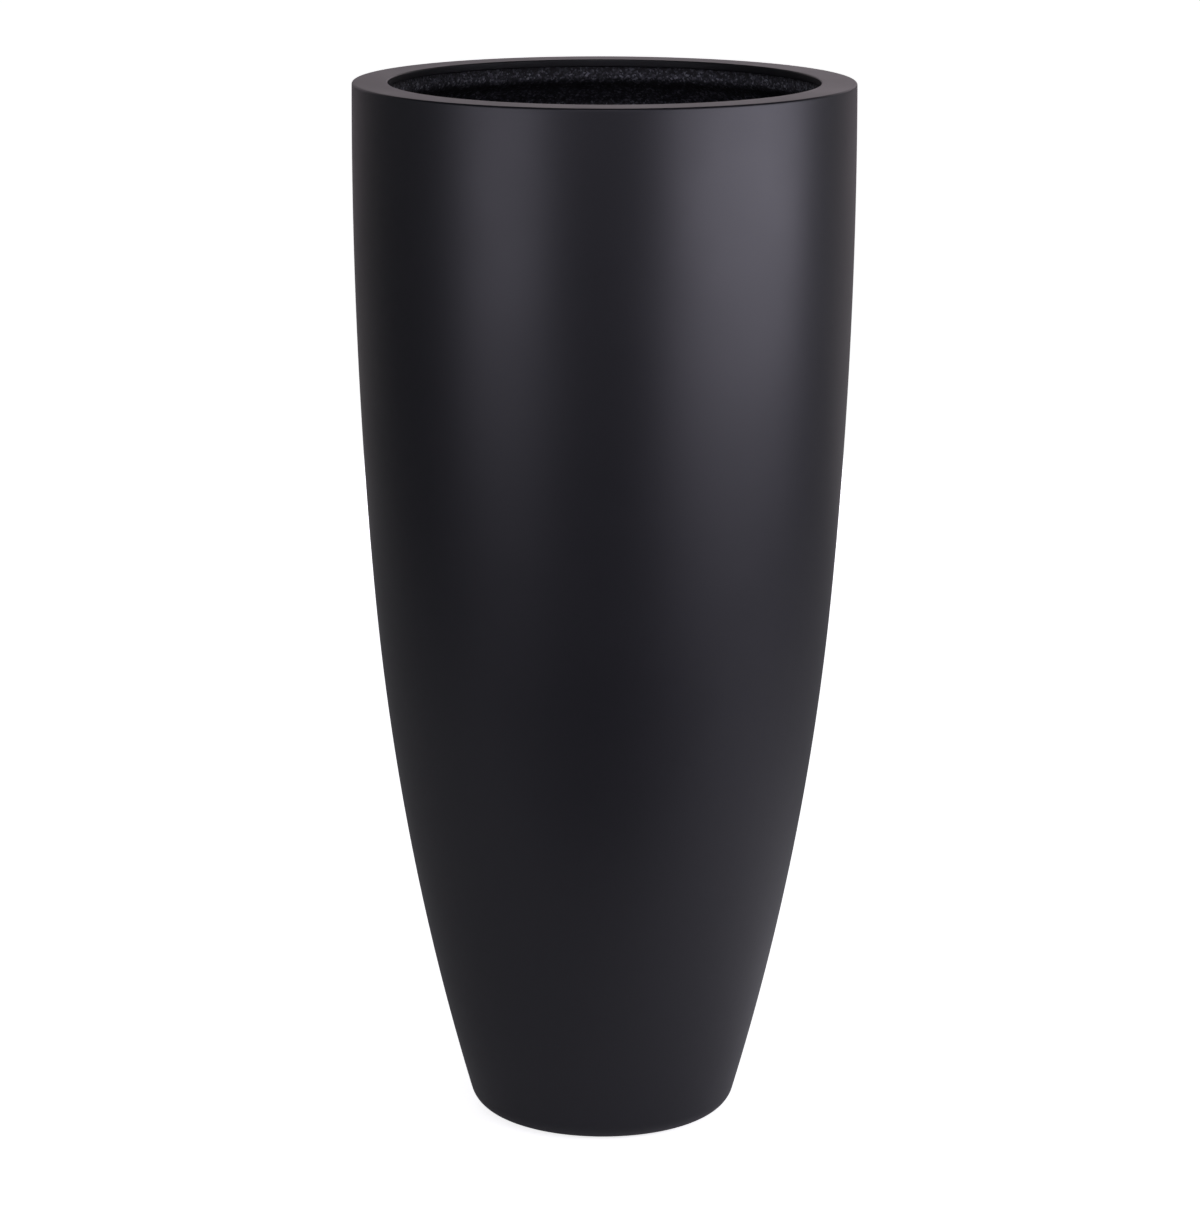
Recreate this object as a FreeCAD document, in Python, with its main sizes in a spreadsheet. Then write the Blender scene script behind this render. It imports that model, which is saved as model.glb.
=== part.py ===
import FreeCAD, Part
import Sketcher
import os
from math import atan2, hypot, pi, sqrt

# Tall round floor planter of hand-laid fiberglass. Origin on the floor, on the planter's axis, +Z up, mm.
# Nearly every piece is a ring about that axis, so its drawing is a half section: radius across, height up.

document = FreeCAD.newDocument("planter")

# ---------------------------------------------------------------- driving dimensions
driving = [
    ("overall_height", 900, "floor to the top of the rim"),
    ("widest_radius", 211.8, "outer wall where it is widest"),
    ("widest_height", 842.5, "height of the widest place"),
    ("upper_sweep", 4622, "radius of the wall's upper sweep"),
    ("blend_height", 461.8, "height at which the lower sweep takes over"),
    ("lower_sweep", 2329, "radius of the wall's lower sweep"),
    ("foot_round", 21.25, "outer rounding between wall and foot"),
    ("foot_height", 2, "the foot stands this far off the floor, on its pads"),
    ("wall_thickness", 4.5, "laminate of the wall and the foot ledge"),
    ("ledge_radius", 44, "inner edge of the turned-in foot ledge"),
    ("bond_line", 0.3, "thickness of a glue line between curved faces"),
    ("mouth_radius", 181.5, "clear opening inside the lip"),
    ("collar_thickness", 5, "flat top of the rim"),
    ("lip_depth", 6.5, "smooth inner lip, from the top down"),
    ("lip_thickness", 4.5, "wall of the inner lip"),
    ("spigot_depth", 12, "flange of the collar that locates inside the shell"),
    ("spigot_thickness", 3, "wall of that flange"),
    ("outer_arris", 1.8, "rounding of the rim's outer edge"),
    ("mouth_arris", 1.2, "rounding of the mouth's top edge"),
    ("lip_arris", 0.7, "rounding of the lip's lower edge"),
    ("core_foot", 17.5, "depth of the core's straight inner face below the top"),
    ("return_thickness", 2, "laminate that closes the rim from inside"),
    ("return_lap", 64, "the return ends this far below the top, on the wall"),
    ("return_round", 4, "rounding at the return's lower inner edge"),
    ("return_cove", 9, "cove where the return runs into its lap on the wall"),
    ("lining_thickness", 1, "sand-filled sealing coat"),
    ("lining_feather", 30, "height over which the lining fairs the lap into the wall"),
    ("pan_radius", 93, "outer edge of the floor pan"),
    ("pan_edge", 6, "laminate of the floor pan at its edge, where it is thickest"),
    ("seat_height", 9, "face that the plug's head rests on"),
    ("seat_thickness", 5.5, "thicker middle of the floor pan"),
    ("seat_radius", 19, "flat seat round the drain hole"),
    ("bare_ring", 2, "uncoated floor between the plug's seat and the lining"),
    ("drain_radius", 11, "drain hole"),
    ("cove_reach", 9, "putty cove on the floor, in from the pan's edge"),
    ("cove_height", 36, "putty cove on the wall, up to this height"),
    ("cove_round", 34, "hollow of the putty cove"),
    ("plug_clearance", 0.05, "round the plug's shank in the drain hole"),
    ("plug_shank", 4.6, "length of the plug's shank"),
    ("plug_taper", 0.6, "the shank is this much smaller at its tip"),
    ("plug_head_radius", 16.5, "head of the plug"),
    ("plug_head", 3, "thickness of the plug's head"),
    ("plug_round", 1.1, "rounding of the head's edge"),
    ("tab_width", 15, "pull tab of the plug"),
    ("tab_thickness", 5, "pull tab of the plug"),
    ("tab_height", 10, "pull tab above the head"),
    ("tab_round", 5.5, "upper corners of the pull tab"),
    ("tab_edge", 1.2, "edge rounding of the pull tab"),
    ("pad_radius", 11, "foot pad"),
    ("pad_ring", 82, "foot pads from the axis"),
    ("pad_socket", 1.2, "depth of the foot pads' sockets"),
    ("pad_play", 0.3, "play round a foot pad in its socket"),
    ("pad_bevel", 0.6, "bevel round a foot pad's face"),
]
sheet = document.addObject("Spreadsheet::Sheet", "dims")
for row, (alias, value, meaning) in enumerate(driving, start=1):
    sheet.set(f"A{row}", meaning)
    sheet.set(f"B{row}", str(value))
    sheet.setAlias(f"B{row}", alias)
document.recompute()

PAD_COUNT = 4
FIRST_PAD_ANGLE = 45
NEAR = 1e-3  # mm, for finding an edge by its place


# ---------------------------------------------------------------- half sections of lines and arcs
def number(expression):
    """Value of an expression in the driving dimensions."""
    return float(sheet.evalExpression(expression))


def new_body(name):
    body = document.addObject("PartDesign::Body", name)
    body.Label = name
    return body


def new_sketch(body, name, plane, offset=None):
    """Empty drawing on one of the body's own planes, raised by offset."""
    sketch = body.newObject("Sketcher::SketchObject", name)
    face = [part for part in body.Origin.OriginFeatures if part.Role == plane][0]
    sketch.AttachmentSupport = [(face, "")]
    sketch.MapMode = "FlatFace"
    if offset:
        sketch.setExpression("AttachmentOffset.Base.z", offset)
    return sketch


def bind(sketch, constraint, name, expression):
    index = sketch.addConstraint(constraint)
    sketch.renameConstraint(index, name)
    sketch.setExpression(f"Constraints.{name}", expression)


def arc_between(start, end, radius, turn):
    """Arc shorter than half a circle; turn is 1 where the path turns left and -1 where it turns right."""
    chord = hypot(end[0] - start[0], end[1] - start[1])
    rise = turn * sqrt(radius**2 - chord**2 / 4) / chord
    centre_x = (start[0] + end[0]) / 2 - rise * (end[1] - start[1])
    centre_y = (start[1] + end[1]) / 2 + rise * (end[0] - start[0])
    first, last = (start, end) if turn > 0 else (end, start)
    circle = Part.Circle(FreeCAD.Vector(centre_x, centre_y, 0), FreeCAD.Vector(0, 0, 1), radius)
    begin = atan2(first[1] - centre_y, first[0] - centre_x)
    finish = atan2(last[1] - centre_y, last[0] - centre_x)
    return Part.ArcOfCircle(circle, begin, finish)


def outline(sketch, corners):
    """Closed outline. A corner is (name, across, up) and then, where an arc leads on to the next corner,
    (radius, turn). All sizes are expressions, so the outline follows the driving dimensions."""
    places = [(number(corner[1]), number(corner[2])) for corner in corners]
    ends = []
    for index, corner in enumerate(corners):
        start = places[index]
        end = places[(index + 1) % len(corners)]
        if len(corner) > 3:
            radius, turn = corner[3]
            edge = sketch.addGeometry(arc_between(start, end, number(radius), turn), False)
            ends.append((edge, 1, 2) if turn > 0 else (edge, 2, 1))
            bind(sketch, Sketcher.Constraint("Radius", edge, number(radius)), f"{corner[0]}_sweep", radius)
        else:
            line = Part.LineSegment(FreeCAD.Vector(*start, 0), FreeCAD.Vector(*end, 0))
            ends.append((sketch.addGeometry(line, False), 1, 2))
    for index, corner in enumerate(corners):
        edge, near, far = ends[index]
        following = ends[(index + 1) % len(corners)]
        sketch.addConstraint(Sketcher.Constraint("Coincident", edge, far, following[0], following[1]))
        across, up = places[index]
        bind(sketch, Sketcher.Constraint("DistanceX", edge, near, across), f"{corner[0]}_across", corner[1])
        bind(sketch, Sketcher.Constraint("DistanceY", edge, near, up), f"{corner[0]}_up", corner[2])


def disc(sketch, radius, across):
    """One circle, centred on the horizontal axis."""
    circle = Part.Circle(FreeCAD.Vector(number(across), 0, 0), FreeCAD.Vector(0, 0, 1), number(radius))
    edge = sketch.addGeometry(circle, False)
    sketch.addConstraint(Sketcher.Constraint("PointOnObject", edge, 3, -1))
    bind(sketch, Sketcher.Constraint("Radius", edge, number(radius)), "radius", radius)
    bind(sketch, Sketcher.Constraint("DistanceX", edge, 3, number(across)), "across", across)


def turned(name, corners):
    """Body made by turning one outline about the planter's axis."""
    body = new_body(name)
    sketch = new_sketch(body, f"{name}_section", "XZ_Plane")
    outline(sketch, corners)
    ring = body.newObject("PartDesign::Revolution", f"{name}_ring")
    ring.Profile = sketch
    ring.ReferenceAxis = (sketch, ["V_Axis"])
    ring.Angle = 360
    sketch.Visibility = False
    document.recompute()
    return body


def circles_at(feature, across, up):
    """Names of the round edges about the planter's axis that lie at a radius and height."""
    names = []
    for index, edge in enumerate(feature.Shape.Edges, start=1):
        centred = isinstance(edge.Curve, Part.Circle) and hypot(*edge.Curve.Center[:2]) < NEAR
        if centred and abs(edge.Curve.Radius - across) < NEAR and abs(edge.Curve.Center.z - up) < NEAR:
            names.append(f"Edge{index}")
    return names


def round_edges(body, name, edges, radius):
    """Round the named edges of the body as it is so far."""
    base = body.Tip
    fillet = body.newObject("PartDesign::Fillet", name)
    fillet.Base = (base, edges)
    fillet.setExpression("Radius", radius)
    document.recompute()


# ---------------------------------------------------------------- the wall's outline, in closed form
# The upper sweep's centre is level with the widest place. The lower sweep is tangent to it at the blend
# height, and the foot's rounding is tangent to the lower sweep and to the foot's flat.
TOP = "dims.overall_height"
UPPER_ACROSS = "(dims.widest_radius - dims.upper_sweep)"
LEAN = "((dims.widest_height - dims.blend_height) / dims.upper_sweep)"
SHIFT = "(dims.upper_sweep - dims.lower_sweep)"
LOWER_ACROSS = f"({UPPER_ACROSS} + {SHIFT} * sqrt(1 - {LEAN}^2))"
LOWER_UP = f"(dims.widest_height - {SHIFT} * {LEAN})"
ROUND_UP = "(dims.foot_height + dims.foot_round)"
ROUND_REACH = "(dims.lower_sweep - dims.foot_round)"
ROUND_ACROSS = f"({LOWER_ACROSS} + sqrt({ROUND_REACH}^2 - ({ROUND_UP} - {LOWER_UP})^2))"


def upper_wall(inset, height):
    """Radius of the upper sweep at a height, inset from the outer face."""
    return f"({UPPER_ACROSS} + sqrt((dims.upper_sweep - {inset})^2 - ({height} - dims.widest_height)^2))"


def lower_wall(inset, height):
    """Radius of the lower sweep at a height, inset from the outer face."""
    return f"({LOWER_ACROSS} + sqrt((dims.lower_sweep - {inset})^2 - ({height} - {LOWER_UP})^2))"


def blend(inset):
    """Where the two sweeps meet, inset from the outer face along their shared normal."""
    across = f"({UPPER_ACROSS} + (dims.upper_sweep - {inset}) * sqrt(1 - {LEAN}^2))"
    return across, f"(dims.widest_height - (dims.upper_sweep - {inset}) * {LEAN})"


def foot_tangent(inset):
    """Where the lower sweep runs into the foot's rounding, inset from the outer face."""
    share = f"((dims.foot_round - {inset}) / {ROUND_REACH})"
    across = f"({ROUND_ACROSS} + {share} * ({ROUND_ACROSS} - {LOWER_ACROSS}))"
    return across, f"({ROUND_UP} + {share} * ({ROUND_UP} - {LOWER_UP}))"


def sweep(radius, inset, turn):
    """Arc of the wall's outline, inset from the outer face, as an outline's corner takes it."""
    return f"({radius} - {inset})", turn


WALL = "dims.wall_thickness"
GLUED = "(dims.wall_thickness + dims.bond_line)"
LINED = "(dims.wall_thickness + dims.bond_line + dims.lining_thickness)"
LEDGE_TOP = "(dims.foot_height + dims.wall_thickness)"

# ---------------------------------------------------------------- outer shell
# One laminate from the rim to the foot, turned in under the foot as a flat ledge that the floor is bonded on.
shell_top = f"({TOP} - dims.collar_thickness)"
shell = turned("outer_shell", [
    ("rim_out", upper_wall("0", shell_top), shell_top, sweep("dims.upper_sweep", "0", -1)),
    ("blend_out", *blend("0"), sweep("dims.lower_sweep", "0", -1)),
    ("foot_out", *foot_tangent("0"), sweep("dims.foot_round", "0", -1)),
    ("flat_out", ROUND_ACROSS, "dims.foot_height"),
    ("ledge_low", "dims.ledge_radius", "dims.foot_height"),
    ("ledge_high", "dims.ledge_radius", LEDGE_TOP),
    ("flat_in", ROUND_ACROSS, LEDGE_TOP, sweep("dims.foot_round", WALL, 1)),
    ("foot_in", *foot_tangent(WALL), sweep("dims.lower_sweep", WALL, 1)),
    ("blend_in", *blend(WALL), sweep("dims.upper_sweep", WALL, 1)),
    ("rim_in", upper_wall(WALL, shell_top), shell_top),
])
plain_volume = shell.Shape.Volume
socket_sketch = new_sketch(shell, "pad_socket_outline", "XY_Plane", "dims.foot_height")
disc(socket_sketch, "dims.pad_radius + dims.pad_play", "dims.pad_ring")
socket = shell.newObject("PartDesign::Pocket", "pad_socket")
socket.Profile = socket_sketch
socket.Reversed = True
socket.setExpression("Length", "dims.pad_socket")
document.recompute()
sockets = shell.newObject("PartDesign::PolarPattern", "pad_sockets")
sockets.Originals = [socket]
sockets.Axis = (socket_sketch, ["N_Axis"])
sockets.Angle = 360
sockets.Occurrences = PAD_COUNT
shell.Tip = sockets
shell.Placement.Rotation = FreeCAD.Rotation(FreeCAD.Vector(0, 0, 1), FIRST_PAD_ANGLE)
document.recompute()
socket_volume = PAD_COUNT * pi * number("(dims.pad_radius + dims.pad_play)^2 * dims.pad_socket")
if abs(plain_volume - shell.Shape.Volume - socket_volume) > 0.01 * socket_volume:
    raise RuntimeError("the foot pads' sockets were not cut")

# ---------------------------------------------------------------- rim collar
# Flat moulded ring with a short lip round the mouth. Its flange locates it inside the shell, and its outer
# edge sits on the shell's top edge, flush with the wall.
lip_foot = f"({TOP} - dims.lip_depth)"
lip_back = "(dims.mouth_radius + dims.lip_thickness)"
spigot_foot = f"({shell_top} - dims.spigot_depth)"
spigot_face = f"({upper_wall(GLUED, shell_top)} - dims.spigot_thickness)"
collar = turned("rim_collar", [
    ("arris", upper_wall("0", TOP), TOP),
    ("mouth", "dims.mouth_radius", TOP),
    ("lip_front", "dims.mouth_radius", lip_foot),
    ("lip_back", lip_back, lip_foot),
    ("under_lip", lip_back, shell_top),
    ("spigot_root", spigot_face, shell_top),
    ("spigot_in", spigot_face, spigot_foot),
    ("spigot_out", upper_wall(GLUED, spigot_foot), spigot_foot, sweep("dims.upper_sweep", GLUED, 1)),
    ("seat_in", upper_wall(GLUED, shell_top), shell_top),
    ("seat_out", upper_wall("0", shell_top), shell_top, sweep("dims.upper_sweep", "0", 1)),
])
outer_edge = circles_at(collar.Tip, number(upper_wall("0", TOP)), number(TOP))
round_edges(collar, "outer_arris", outer_edge, "dims.outer_arris")
mouth_edge = circles_at(collar.Tip, number("dims.mouth_radius"), number(TOP))
round_edges(collar, "mouth_arris", mouth_edge, "dims.mouth_arris")
lip_edge = circles_at(collar.Tip, number("dims.mouth_radius"), number(lip_foot))
round_edges(collar, "lip_arris", lip_edge, "dims.lip_arris")

# ---------------------------------------------------------------- rim core
# Light core under the flat of the rim. Its underside slopes at 45 degrees, so that glass drapes over it.
core_face = f"({lip_back} + dims.bond_line)"
core_corner = f"({TOP} - dims.core_foot)"
core_back = upper_wall(GLUED, core_corner)
core_slope_foot = f"({core_corner} - ({core_back} - {core_face}))"
spigot_side = f"({spigot_face} - dims.bond_line)"
turned("rim_core", [
    ("top_in", core_face, shell_top),
    ("slope_in", core_face, core_corner),
    ("slope_out", core_back, core_slope_foot),
    ("back", core_back, f"({spigot_foot} - dims.bond_line)"),
    ("step", spigot_side, f"({spigot_foot} - dims.bond_line)"),
    ("top_out", spigot_side, shell_top),
])

# ---------------------------------------------------------------- rim return
# Strip laminated over the core from inside: down its face, along its slope, and lapped onto the wall. Its
# two bends turn by 45 degrees, so a face that is offset there shifts by the tangent of 22.5 degrees.
TAN_HALF_BEND = "(sqrt(2) - 1)"
return_face = f"({core_face} - dims.return_thickness)"
lap_face = f"({core_back} - dims.return_thickness)"
lap_foot = f"({TOP} - dims.return_lap)"
return_corner = f"({core_corner} - dims.return_thickness * {TAN_HALF_BEND})"
lap_corner = f"({return_corner} - ({lap_face} - {return_face}))"
rim_return = turned("rim_return", [
    ("top_out", core_face, lip_foot),
    ("top_in", return_face, lip_foot),
    ("corner", return_face, return_corner),
    ("lap_corner", lap_face, lap_corner),
    ("lap_in", lap_face, lap_foot),
    ("lap_out", core_back, lap_foot),
    ("slope_out", core_back, core_slope_foot),
    ("slope_in", core_face, core_corner),
])
corner_edge = circles_at(rim_return.Tip, number(return_face), number(return_corner))
round_edges(rim_return, "return_round", corner_edge, "dims.return_round")
cove_edge = circles_at(rim_return.Tip, number(lap_face), number(lap_corner))
round_edges(rim_return, "return_cove", cove_edge, "dims.return_cove")

# ---------------------------------------------------------------- floor pan
# Separate floor, flat where it is bonded on the ledge, with a fall to the thicker seat round the drain hole.
pan_edge_top = f"({LEDGE_TOP} + dims.pan_edge)"
seat_foot = "(dims.seat_height - dims.seat_thickness)"
dish_edge = "(dims.ledge_radius - 2 * dims.bond_line)"
turned("floor_pan", [
    ("hole_high", "dims.drain_radius", "dims.seat_height"),
    ("hole_low", "dims.drain_radius", seat_foot),
    ("seat_low", "dims.seat_radius", seat_foot),
    ("dish_low", dish_edge, LEDGE_TOP),
    ("edge_low", "dims.pan_radius", LEDGE_TOP),
    ("edge_high", "dims.pan_radius", pan_edge_top),
    ("seat_high", "dims.seat_radius", "dims.seat_height"),
])

# ---------------------------------------------------------------- floor bond
# Resin putty pressed in between the pan's edge and the wall, and drawn off to a hollow cove.
cove_foot = "(dims.pan_radius - dims.cove_reach)"
floor_slope = f"(({pan_edge_top} - dims.seat_height) / (dims.pan_radius - dims.seat_radius))"
cove_foot_up = f"(dims.seat_height + {floor_slope} * ({cove_foot} - dims.seat_radius))"
putty_edge = "(dims.pan_radius + dims.bond_line)"
turned("floor_bond", [
    ("edge_low", putty_edge, LEDGE_TOP),
    ("edge_high", putty_edge, pan_edge_top),
    ("pan_edge", "dims.pan_radius", pan_edge_top),
    ("cove_in", cove_foot, cove_foot_up, ("dims.cove_round", 1)),
    ("cove_out", lower_wall(WALL, "dims.cove_height"), "dims.cove_height", sweep("dims.lower_sweep", WALL, -1)),
    ("foot_in", *foot_tangent(WALL), sweep("dims.foot_round", WALL, -1)),
    ("flat_in", ROUND_ACROSS, LEDGE_TOP),
])

# ---------------------------------------------------------------- inner lining
# Sand-filled sealing coat, from under the lip to the seat of the drain hole. It follows the return, fairs the
# lap into the wall, and runs down over the cove and the floor.
DIAGONAL = "(1 / sqrt(2))"
lining_edge = "(dims.seat_radius + dims.bare_ring)"
feather_foot = f"({lap_foot} - dims.lining_feather)"


def return_bend(inset):
    """The return's rounded corner, inset towards the axis: its two ends, and its radius."""
    across = f"({return_face} - {inset})"
    up = f"({return_corner} - {inset} * {TAN_HALF_BEND})"
    radius = f"(dims.return_round + {inset})"
    reach = f"({radius} * {TAN_HALF_BEND})"
    high = (across, f"({up} + {reach})")
    low = (f"({across} + {reach} * {DIAGONAL})", f"({up} - {reach} * {DIAGONAL})")
    return high, low, radius


def lap_bend(inset):
    """The cove between the return's slope and its lap, inset towards the axis: its two ends and its radius."""
    across = f"({lap_face} - {inset})"
    up = f"({lap_corner} - {inset} * {TAN_HALF_BEND})"
    radius = f"(dims.return_cove - {inset})"
    reach = f"({radius} * {TAN_HALF_BEND})"
    high = (f"({across} - {reach} * {DIAGONAL})", f"({up} + {reach} * {DIAGONAL})")
    low = (across, f"({up} - {reach})")
    return high, low, radius


def floor_up(across, lift):
    """Height of the floor pan's sloping top at a radius, plus a lift."""
    return f"(dims.seat_height + {floor_slope} * ({across} - dims.seat_radius) + {lift})"


COAT = "dims.lining_thickness"
COATED = "(dims.bond_line + dims.lining_thickness)"
back_high, back_low, back_round = return_bend("0")
back_cove_high, back_cove_low, back_cove = lap_bend("0")
face_high, face_low, face_round = return_bend(COAT)
face_cove_high, face_cove_low, face_cove = lap_bend(COAT)
turned("inner_lining", [
    ("top_out", return_face, lip_foot),
    ("back_high", *back_high, (back_round, 1)),
    ("back_low", *back_low),
    ("back_cove_high", *back_cove_high, (back_cove, -1)),
    ("back_cove_low", *back_cove_low),
    ("lap_in", lap_face, lap_foot),
    ("lap_out", upper_wall(GLUED, lap_foot), lap_foot, sweep("dims.upper_sweep", GLUED, -1)),
    ("blend_out", *blend(GLUED), sweep("dims.lower_sweep", GLUED, -1)),
    ("cove_top_out", lower_wall(GLUED, "dims.cove_height"), "dims.cove_height", ("dims.cove_round", -1)),
    ("cove_foot_out", cove_foot, floor_up(cove_foot, "dims.bond_line")),
    ("edge_low", lining_edge, floor_up(lining_edge, "dims.bond_line")),
    ("edge_high", lining_edge, floor_up(lining_edge, COATED)),
    ("cove_foot_in", cove_foot, floor_up(cove_foot, COATED), ("dims.cove_round", 1)),
    ("cove_top_in", lower_wall(LINED, "dims.cove_height"), "dims.cove_height", sweep("dims.lower_sweep", LINED, 1)),
    ("blend_in", *blend(LINED), sweep("dims.upper_sweep", LINED, 1)),
    ("feather", upper_wall(LINED, feather_foot), feather_foot),
    ("lap_face", f"({lap_face} - {COAT})", lap_foot),
    ("face_cove_low", *face_cove_low, (face_cove, 1)),
    ("face_cove_high", *face_cove_high),
    ("face_low", *face_low, (face_round, -1)),
    ("face_high", *face_high),
    ("top_in", f"({return_face} - {COAT})", lip_foot),
])

# ---------------------------------------------------------------- drain plug
# Soft rubber plug, put in from inside: a tapered shank in the hole, a head on the seat, and a tab to pull.
head_top = "(dims.seat_height + dims.plug_head)"
shank_tip = "(dims.seat_height - dims.plug_shank)"
shank_radius = "(dims.drain_radius - dims.plug_clearance)"
plug = turned("drain_plug", [
    ("tip_middle", "0", shank_tip),
    ("tip", f"({shank_radius} - dims.plug_taper)", shank_tip),
    ("shank", shank_radius, "dims.seat_height"),
    ("head_low", "dims.plug_head_radius", "dims.seat_height"),
    ("head_high", "dims.plug_head_radius", head_top),
    ("head_middle", "0", head_top),
])
round_edges(plug, "head_round", circles_at(plug.Tip, number("dims.plug_head_radius"), number(head_top)),
            "dims.plug_round")
tab_sketch = new_sketch(plug, "tab_outline", "XZ_Plane")
tab_top = f"({head_top} + dims.tab_height)"
tab_foot = f"({head_top} - dims.plug_head / 2)"
tab_side = "(dims.tab_width / 2)"
outline(tab_sketch, [
    ("foot_right", tab_side, tab_foot),
    ("side_right", tab_side, f"({tab_top} - dims.tab_round)", ("dims.tab_round", 1)),
    ("top_right", f"({tab_side} - dims.tab_round)", tab_top),
    ("top_left", f"(dims.tab_round - {tab_side})", tab_top, ("dims.tab_round", 1)),
    ("side_left", f"(0 - {tab_side})", f"({tab_top} - dims.tab_round)"),
    ("foot_left", f"(0 - {tab_side})", tab_foot),
])
tab = plug.newObject("PartDesign::Pad", "tab")
tab.Profile = tab_sketch
tab.Midplane = True
tab.setExpression("Length", "dims.tab_thickness")
document.recompute()
tab_half = number("dims.tab_thickness") / 2
rim_names = []
for index, edge in enumerate(tab.Shape.Edges, start=1):
    middle = edge.valueAt((edge.FirstParameter + edge.LastParameter) / 2)
    on_face = abs(abs(middle.y) - tab_half) < NEAR
    if on_face and middle.z > number(head_top) + NEAR:
        rim_names.append(f"Edge{index}")
round_edges(plug, "tab_edges", rim_names, "dims.tab_edge")

# ---------------------------------------------------------------- foot pads
# Four rubber pads stuck in the sockets under the ledge. The planter stands on them.
for count in range(PAD_COUNT):
    pad_body = new_body(f"foot_pad_{count + 1}")
    pad_sketch = new_sketch(pad_body, f"foot_pad_outline_{count + 1}", "XY_Plane")
    disc(pad_sketch, "dims.pad_radius", "dims.pad_ring")
    pad = pad_body.newObject("PartDesign::Pad", f"foot_pad_disc_{count + 1}")
    pad.Profile = pad_sketch
    pad.setExpression("Length", "dims.foot_height + dims.pad_socket")
    document.recompute()
    bevel = pad_body.newObject("PartDesign::Chamfer", f"foot_pad_bevel_{count + 1}")
    low_edges = [f"Edge{index}" for index, edge in enumerate(pad.Shape.Edges, start=1)
                 if edge.BoundBox.ZMax < NEAR]
    bevel.Base = (pad, low_edges)
    bevel.setExpression("Size", "dims.pad_bevel")
    angle = FIRST_PAD_ANGLE + count * 360 / PAD_COUNT
    pad_body.Placement.Rotation = FreeCAD.Rotation(FreeCAD.Vector(0, 0, 1), angle)

# ---------------------------------------------------------------- check and write
document.recompute()
for item in document.Objects:
    if "Invalid" in item.State or "Error" in item.State:
        raise RuntimeError(f"{item.Label} failed: {item.State}")
bodies = [item for item in document.Objects if item.TypeId == "PartDesign::Body"]
for body in bodies:
    if body.Shape.isNull() or not body.Shape.isValid() or len(body.Shape.Solids) != 1:
        raise RuntimeError(f"{body.Label} is not one valid solid")
os.makedirs("parts", exist_ok=True)
for body in bodies:
    body.Shape.exportStep(f"parts/{body.Label}.step")
    box = body.Shape.BoundBox
    print(f"{body.Label:14s} {body.Shape.Volume / 1000:9.1f} cm3   z {box.ZMin:7.2f} to {box.ZMax:7.2f}"
          f"   across {box.XLength:7.2f}")
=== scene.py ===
import math
import bpy
import numpy as np
from mathutils import Matrix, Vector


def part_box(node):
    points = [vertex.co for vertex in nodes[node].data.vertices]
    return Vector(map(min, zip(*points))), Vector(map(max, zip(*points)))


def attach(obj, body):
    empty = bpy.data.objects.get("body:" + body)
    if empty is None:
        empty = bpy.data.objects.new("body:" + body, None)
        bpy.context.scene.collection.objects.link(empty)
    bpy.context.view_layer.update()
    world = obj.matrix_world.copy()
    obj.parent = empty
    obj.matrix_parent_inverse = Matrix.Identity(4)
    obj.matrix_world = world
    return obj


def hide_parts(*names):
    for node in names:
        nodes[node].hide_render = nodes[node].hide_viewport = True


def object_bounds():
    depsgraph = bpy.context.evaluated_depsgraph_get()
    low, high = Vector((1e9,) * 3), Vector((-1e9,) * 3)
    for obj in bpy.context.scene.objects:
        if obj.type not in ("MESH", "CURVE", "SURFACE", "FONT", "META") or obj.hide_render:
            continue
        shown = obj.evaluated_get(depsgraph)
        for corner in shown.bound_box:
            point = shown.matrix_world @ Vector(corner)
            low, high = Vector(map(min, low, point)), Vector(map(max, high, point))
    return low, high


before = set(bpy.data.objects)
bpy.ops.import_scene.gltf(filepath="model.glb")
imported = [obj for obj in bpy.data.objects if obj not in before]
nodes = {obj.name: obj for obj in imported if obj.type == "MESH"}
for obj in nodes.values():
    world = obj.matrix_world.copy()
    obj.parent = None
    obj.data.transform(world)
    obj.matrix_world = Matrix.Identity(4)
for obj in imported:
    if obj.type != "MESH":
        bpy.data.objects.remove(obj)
cad_low, cad_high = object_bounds()

# ---------------------------------------------------------------- outer wall
# One laminate of glass fibre and polyester, laid up in a mould from the rim to the foot, where it turns in
# as a flat ledge. Outside it is filled, sanded and sprayed with satin paint, so the wall shows no seam or
# weave.
MM = 0.001
QUARTER = math.pi / 2
TOP = cad_high.z
WALL_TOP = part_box("outer_shell")[1].z
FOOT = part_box("outer_shell")[0].z
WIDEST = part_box("outer_shell")[1].x
WIDEST_UP = 842.5 * MM
UPPER_SWEEP = 4622 * MM
LOWER_SWEEP = 2329 * MM
BLEND_UP = 461.8 * MM
FOOT_ROUND = 21.25 * MM
WALL_THICKNESS = 4.5 * MM
LEDGE_EDGE = 44 * MM
LEDGE_TOP = FOOT + WALL_THICKNESS
LEAN = (WIDEST_UP - BLEND_UP) / UPPER_SWEEP
UPPER_ACROSS = WIDEST - UPPER_SWEEP
LOWER_ACROSS = UPPER_ACROSS + (UPPER_SWEEP - LOWER_SWEEP) * math.sqrt(1 - LEAN**2)
LOWER_UP = WIDEST_UP - (UPPER_SWEEP - LOWER_SWEEP) * LEAN
ROUND_UP = FOOT + FOOT_ROUND
ROUND_ACROSS = LOWER_ACROSS + math.sqrt((LOWER_SWEEP - FOOT_ROUND) ** 2 - (ROUND_UP - LOWER_UP) ** 2)
FOOT_LEAN = math.atan2(ROUND_UP - LOWER_UP, ROUND_ACROSS - LOWER_ACROSS)


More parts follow.
